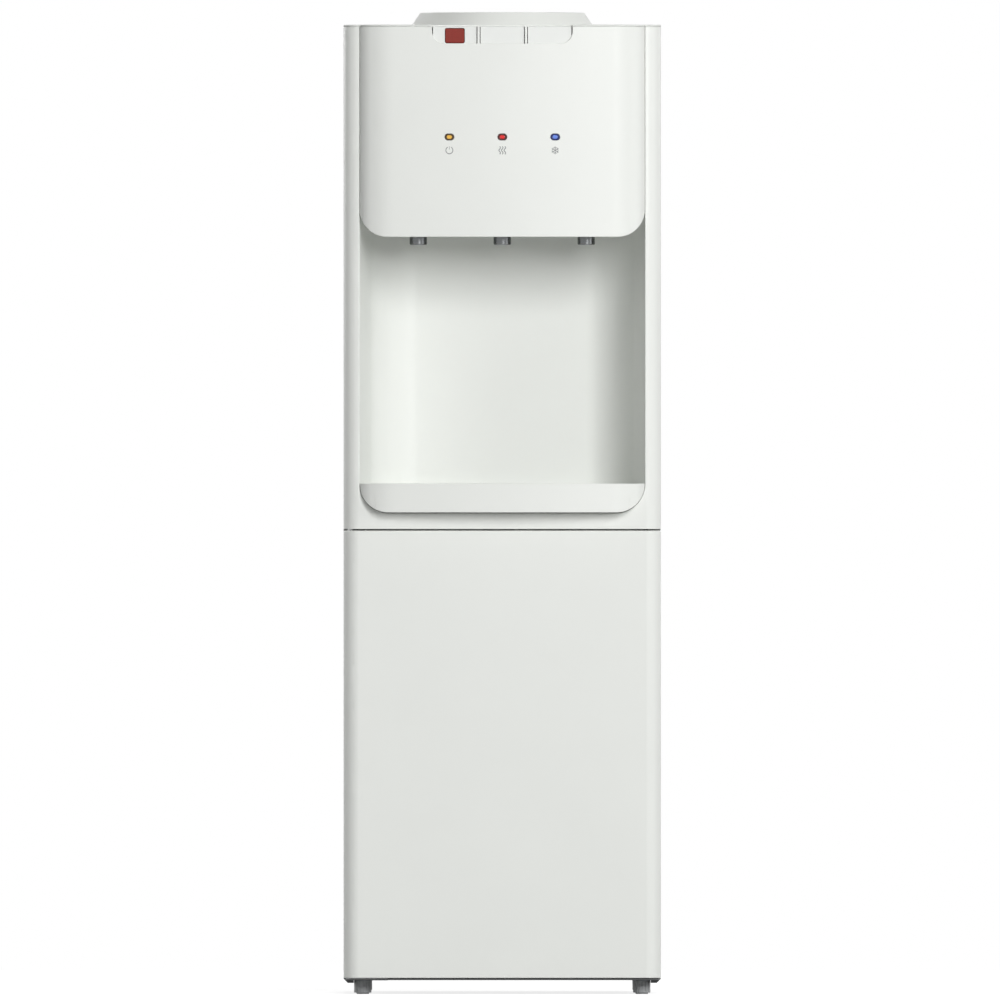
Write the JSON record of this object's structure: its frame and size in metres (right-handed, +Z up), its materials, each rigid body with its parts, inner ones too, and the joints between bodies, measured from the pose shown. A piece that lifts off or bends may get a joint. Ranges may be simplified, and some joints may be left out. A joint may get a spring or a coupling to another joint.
{
  "type": "water dispenser",
  "caption": "Free-standing top-loading water dispenser: bottle collar, press keys over a curved glass bay with a drip tray, and a hinged storage door below.",
  "frame": {"origin": "middle of the overall width and depth, on the floor", "axes": "+Z up, the front faces -Y, +X is to the right seen from the front"},
  "size_m": [0.31, 0.326, 0.96],
  "materials": {
    "cabinet_paint": "satin white paint",
    "base_paint": "grey paint",
    "foot_plastic": "moulded",
    "rear_steel": "galvanised sheet",
    "front_plastic": "moulded, soft gloss",
    "key_plastic": "moulded, soft gloss",
    "liner_plastic": "moulded",
    "grille_plastic": "moulded",
    "lock_red": "moulded",
    "lens": "clear",
    "board": "lacquered",
    "steel": "plain",
    "spring_steel": "plain",
    "tap_plastic": "moulded",
    "copper": "drawn tube",
    "foam": "expanded foam",
    "silicone": "soft",
    "black_plastic": "moulded",
    "rocker_plastic": "moulded",
    "compressor_paint": "black paint",
    "condenser_paint": "black paint"
  },
  "bodies": {
    "cabinet": {"base_pan": "base_paint", "side_panel_left": "cabinet_paint", "side_panel_right": "cabinet_paint", "rear_panel": "rear_steel", "front_frame": "front_plastic", "bay_liner": "front_plastic", "fascia_panel": "front_plastic", "indicator_lenses": "lens", "indicator_board": "board", "tap_bracket": "steel", "key_bracket": "black_plastic", "key_axle": "steel", "tap_hot": "tap_plastic", "tap_room": "tap_plastic", "tap_cold": "tap_plastic", "return_spring_hot": "spring_steel", "return_spring_room": "spring_steel", "return_spring_cold": "spring_steel", "top_cover": "front_plastic", "tank_shelf": "rear_steel", "cold_tank": "steel", "evaporator_coil": "copper", "tank_foam": "foam", "hot_tank": "steel", "tank_jacket": "foam", "water_hoses": "silicone", "drain_pipe": "liner_plastic", "cupboard_liner": "liner_plastic", "hinge_lower": "steel", "hinge_upper": "steel", "door_catch": "black_plastic", "switch_housing": "black_plastic", "power_inlet": "black_plastic", "compressor": "compressor_paint", "compressor_mounts": "silicone", "relay_cover": "black_plastic", "condenser": "condenser_paint", "condenser_clips": "black_plastic", "refrigerant_pipes": "copper"},
    "door": {"door_panel": "front_plastic", "door_liner": "liner_plastic", "catch_strike": "steel"},
    "key_hot": {"key_hot": "key_plastic"},
    "key_room": {"key_room": "key_plastic"},
    "key_cold": {"key_cold": "key_plastic"},
    "child_lock": {"child_lock": "lock_red"},
    "rod_hot": {"push_rod_hot": "liner_plastic"},
    "rod_room": {"push_rod_room": "liner_plastic"},
    "rod_cold": {"push_rod_cold": "liner_plastic"},
    "tray": {"drip_tray": "front_plastic"},
    "grille": {"drip_grille": "grille_plastic"},
    "collar": {"bottle_collar": "front_plastic"},
    "probe": {"bottle_probe": "liner_plastic"},
    "rocker_heating": {"rocker_heating": "rocker_plastic"},
    "rocker_cooling": {"rocker_cooling": "rocker_plastic"},
    "cap": {"drain_cap": "black_plastic"},
    "foot_front_left": {"foot_front_left": "foot_plastic"},
    "foot_front_right": {"foot_front_right": "foot_plastic"},
    "foot_back_left": {"foot_back_left": "foot_plastic"},
    "foot_back_right": {"foot_back_right": "foot_plastic"}
  },
  "joints": [
    {"name": "door_hinge", "type": "hinge", "parent": "cabinet", "child": "door", "pos_m": [-0.148, -0.127, 0.2347], "axis": [0, 0, -1], "range_deg": [0, 110]},
    {"name": "key_hot_hinge", "type": "hinge", "parent": "cabinet", "child": "key_hot", "pos_m": [-0.0463, -0.084, 0.936], "axis": [1, 0, 0], "range_deg": [0, 5], "stiffness_Nm_per_rad": 1, "springref_deg": -9.74},
    {"name": "key_room_hinge", "type": "hinge", "parent": "cabinet", "child": "key_room", "pos_m": [0, -0.084, 0.936], "axis": [1, 0, 0], "range_deg": [0, 5], "stiffness_Nm_per_rad": 1, "springref_deg": -9.74},
    {"name": "key_cold_hinge", "type": "hinge", "parent": "cabinet", "child": "key_cold", "pos_m": [0.0463, -0.084, 0.936], "axis": [1, 0, 0], "range_deg": [0, 5], "stiffness_Nm_per_rad": 1, "springref_deg": -9.74},
    {"name": "child_lock_slide", "type": "slide", "parent": "key_hot", "child": "child_lock", "axis": [0, 1, 0], "range_m": [0, 0.003], "stiffness_N_per_m": 400, "springref_m": -0.0025},
    {"name": "rod_hot_slide", "type": "slide", "parent": "cabinet", "child": "rod_hot", "axis": [0, 0, -1], "range_m": [0, 0.0032], "deforming": ["return_spring_hot"]},
    {"name": "rod_room_slide", "type": "slide", "parent": "cabinet", "child": "rod_room", "axis": [0, 0, -1], "range_m": [0, 0.0032], "deforming": ["return_spring_room"]},
    {"name": "rod_cold_slide", "type": "slide", "parent": "cabinet", "child": "rod_cold", "axis": [0, 0, -1], "range_m": [0, 0.0032], "deforming": ["return_spring_cold"]},
    {"name": "tray_slide", "type": "slide", "parent": "cabinet", "child": "tray", "axis": [0, -1, 0], "range_m": [0, 0.12]},
    {"name": "grille_lift", "type": "slide", "parent": "tray", "child": "grille", "axis": [0, 0, 1], "range_m": [0, 0.05]},
    {"name": "collar_lift", "type": "slide", "parent": "cabinet", "child": "collar", "axis": [0, 0, 1], "range_m": [0, 0.09]},
    {"name": "probe_lift", "type": "slide", "parent": "collar", "child": "probe", "axis": [0, 0, 1], "range_m": [0, 0.06]},
    {"name": "rocker_heating_hinge", "type": "hinge", "parent": "cabinet", "child": "rocker_heating", "pos_m": [0.0585, 0.131, 0.8549], "axis": [-1, 0, 0], "range_deg": [0, 16]},
    {"name": "rocker_cooling_hinge", "type": "hinge", "parent": "cabinet", "child": "rocker_cooling", "pos_m": [0.0855, 0.131, 0.8549], "axis": [-1, 0, 0], "range_deg": [0, 16]},
    {"name": "cap_slide", "type": "slide", "parent": "cabinet", "child": "cap", "axis": [0, 1, 0], "range_m": [0, 0.03]},
    {"name": "foot_front_left_turn", "type": "hinge", "parent": "cabinet", "child": "foot_front_left", "pos_m": [-0.1363, -0.103, 0.011], "axis": [0, 0, 1], "continuous": true},
    {"name": "foot_front_right_turn", "type": "hinge", "parent": "cabinet", "child": "foot_front_right", "pos_m": [0.1363, -0.103, 0.011], "axis": [0, 0, 1], "continuous": true},
    {"name": "foot_back_left_turn", "type": "hinge", "parent": "cabinet", "child": "foot_back_left", "pos_m": [-0.1363, 0.1183, 0.011], "axis": [0, 0, 1], "continuous": true},
    {"name": "foot_back_right_turn", "type": "hinge", "parent": "cabinet", "child": "foot_back_right", "pos_m": [0.1363, 0.1183, 0.011], "axis": [0, 0, 1], "continuous": true}
  ],
  "couplings": [
    {"joint": "rod_hot_slide", "follows": "key_hot_hinge", "m_per_rad": 0.036},
    {"joint": "rod_room_slide", "follows": "key_room_hinge", "m_per_rad": 0.036},
    {"joint": "rod_cold_slide", "follows": "key_cold_hinge", "m_per_rad": 0.036}
  ]
}
